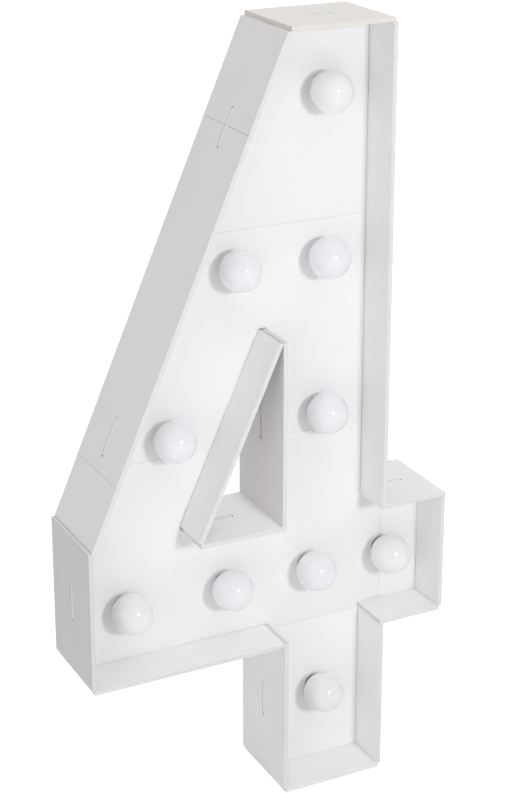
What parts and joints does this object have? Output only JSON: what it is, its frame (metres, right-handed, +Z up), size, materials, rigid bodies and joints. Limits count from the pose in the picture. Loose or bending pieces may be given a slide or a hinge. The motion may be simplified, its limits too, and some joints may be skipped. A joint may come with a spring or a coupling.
{
  "type": "light up marquee number",
  "caption": "Free-standing figure four in slotted foam board, an open box with a face board at mid-depth that holds milky globe lamps.",
  "frame": {"origin": "on the ground, below the middle of the outline and half-way through the depth", "axes": "+Z up the figure, +Y from the open front with the globes to the back, +X along the bar to the figure's arm"},
  "size_m": [0.45, 0.11, 0.914],
  "materials": {
    "top_cap": "matt white paper-faced foam board",
    "slant_wall_upper": "matt white paper-faced foam board",
    "slant_wall_middle": "matt white paper-faced foam board",
    "slant_wall_lower": "matt white paper-faced foam board",
    "left_end_wall": "matt white paper-faced foam board",
    "bar_underside_wall": "matt white paper-faced foam board",
    "foot_left_wall": "matt white paper-faced foam board",
    "foot_base_wall": "matt white paper-faced foam board",
    "foot_right_wall": "matt white paper-faced foam board",
    "arm_underside_wall": "matt white paper-faced foam board",
    "arm_end_wall": "matt white paper-faced foam board",
    "arm_top_wall": "matt white paper-faced foam board",
    "stem_right_wall": "matt white paper-faced foam board",
    "window_slant_wall": "matt white paper-faced foam board",
    "window_right_wall": "matt white paper-faced foam board",
    "window_base_wall": "matt white paper-faced foam board",
    "face_panel_top": "matt white paper-faced foam board",
    "face_panel_middle": "matt white paper-faced foam board",
    "face_panel_lower": "matt white paper-faced foam board",
    "face_panel_arm": "matt white paper-faced foam board",
    "face_panel_foot": "matt white paper-faced foam board",
    "globe_1": "glossy milky white",
    "globe_2": "glossy milky white",
    "globe_3": "glossy milky white",
    "globe_4": "glossy milky white",
    "globe_5": "glossy milky white",
    "globe_6": "glossy milky white",
    "globe_7": "glossy milky white",
    "globe_8": "glossy milky white",
    "globe_9": "glossy milky white",
    "globe_10": "glossy milky white",
    "lamp_holder_1": "satin white moulding",
    "lamp_holder_2": "satin white moulding",
    "lamp_holder_3": "satin white moulding",
    "lamp_holder_4": "satin white moulding",
    "lamp_holder_5": "satin white moulding",
    "lamp_holder_6": "satin white moulding",
    "lamp_holder_7": "satin white moulding",
    "lamp_holder_8": "satin white moulding",
    "lamp_holder_9": "satin white moulding",
    "lamp_holder_10": "satin white moulding",
    "led_board_1": "white circuit board with a lens",
    "led_board_2": "white circuit board with a lens",
    "led_board_3": "white circuit board with a lens",
    "led_board_4": "white circuit board with a lens",
    "led_board_5": "white circuit board with a lens",
    "led_board_6": "white circuit board with a lens",
    "led_board_7": "white circuit board with a lens",
    "led_board_8": "white circuit board with a lens",
    "led_board_9": "white circuit board with a lens",
    "led_board_10": "white circuit board with a lens",
    "battery_box": "satin white moulding",
    "battery_cover": "satin white moulding",
    "switch_knob": "matt dark moulding",
    "battery_cell_1": "plain wrapped cell",
    "battery_cell_2": "plain wrapped cell",
    "battery_cell_3": "plain wrapped cell",
    "battery_cell_4": "plain wrapped cell",
    "battery_cell_5": "plain wrapped cell",
    "battery_cell_6": "plain wrapped cell"
  },
  "bodies": {
    "letter": {"top_cap": "top_cap", "slant_wall_upper": "slant_wall_upper", "slant_wall_middle": "slant_wall_middle", "slant_wall_lower": "slant_wall_lower", "left_end_wall": "left_end_wall", "bar_underside_wall": "bar_underside_wall", "foot_left_wall": "foot_left_wall", "foot_base_wall": "foot_base_wall", "foot_right_wall": "foot_right_wall", "arm_underside_wall": "arm_underside_wall", "arm_end_wall": "arm_end_wall", "arm_top_wall": "arm_top_wall", "stem_right_wall": "stem_right_wall", "window_slant_wall": "window_slant_wall", "window_right_wall": "window_right_wall", "window_base_wall": "window_base_wall", "face_panel_top": "face_panel_top", "face_panel_middle": "face_panel_middle", "face_panel_lower": "face_panel_lower", "face_panel_arm": "face_panel_arm", "face_panel_foot": "face_panel_foot", "lamp_holder_1": "lamp_holder_1", "lamp_holder_2": "lamp_holder_2", "lamp_holder_3": "lamp_holder_3", "lamp_holder_4": "lamp_holder_4", "lamp_holder_5": "lamp_holder_5", "lamp_holder_6": "lamp_holder_6", "lamp_holder_7": "lamp_holder_7", "lamp_holder_8": "lamp_holder_8", "lamp_holder_9": "lamp_holder_9", "lamp_holder_10": "lamp_holder_10", "led_board_1": "led_board_1", "led_board_2": "led_board_2", "led_board_3": "led_board_3", "led_board_4": "led_board_4", "led_board_5": "led_board_5", "led_board_6": "led_board_6", "led_board_7": "led_board_7", "led_board_8": "led_board_8", "led_board_9": "led_board_9", "led_board_10": "led_board_10", "battery_box": "battery_box", "battery_cell_1": "battery_cell_1", "battery_cell_2": "battery_cell_2", "battery_cell_3": "battery_cell_3", "battery_cell_4": "battery_cell_4", "battery_cell_5": "battery_cell_5", "battery_cell_6": "battery_cell_6"},
    "globe_1": {"globe_1": "globe_1"},
    "globe_2": {"globe_2": "globe_2"},
    "globe_3": {"globe_3": "globe_3"},
    "globe_4": {"globe_4": "globe_4"},
    "globe_5": {"globe_5": "globe_5"},
    "globe_6": {"globe_6": "globe_6"},
    "globe_7": {"globe_7": "globe_7"},
    "globe_8": {"globe_8": "globe_8"},
    "globe_9": {"globe_9": "globe_9"},
    "globe_10": {"globe_10": "globe_10"},
    "battery_cover": {"battery_cover": "battery_cover"},
    "switch_knob": {"switch_knob": "switch_knob"}
  },
  "joints": [
    {"name": "globe_1_pull", "type": "slide", "parent": "letter", "child": "globe_1", "axis": [0, -1, 0], "range_m": [0, 0.025]},
    {"name": "globe_2_pull", "type": "slide", "parent": "letter", "child": "globe_2", "axis": [0, -1, 0], "range_m": [0, 0.025]},
    {"name": "globe_3_pull", "type": "slide", "parent": "letter", "child": "globe_3", "axis": [0, -1, 0], "range_m": [0, 0.025]},
    {"name": "globe_4_pull", "type": "slide", "parent": "letter", "child": "globe_4", "axis": [0, -1, 0], "range_m": [0, 0.025]},
    {"name": "globe_5_pull", "type": "slide", "parent": "letter", "child": "globe_5", "axis": [0, -1, 0], "range_m": [0, 0.025]},
    {"name": "globe_6_pull", "type": "slide", "parent": "letter", "child": "globe_6", "axis": [0, -1, 0], "range_m": [0, 0.025]},
    {"name": "globe_7_pull", "type": "slide", "parent": "letter", "child": "globe_7", "axis": [0, -1, 0], "range_m": [0, 0.025]},
    {"name": "globe_8_pull", "type": "slide", "parent": "letter", "child": "globe_8", "axis": [0, -1, 0], "range_m": [0, 0.025]},
    {"name": "globe_9_pull", "type": "slide", "parent": "letter", "child": "globe_9", "axis": [0, -1, 0], "range_m": [0, 0.025]},
    {"name": "globe_10_pull", "type": "slide", "parent": "letter", "child": "globe_10", "axis": [0, -1, 0], "range_m": [0, 0.025]},
    {"name": "battery_cover_pull", "type": "slide", "parent": "letter", "child": "battery_cover", "axis": [0, 1, 0], "range_m": [0, 0.03]},
    {"name": "switch_knob_slide", "type": "slide", "parent": "letter", "child": "switch_knob", "axis": [0, 0, 1], "range_m": [0, 0.004]}
  ]
}
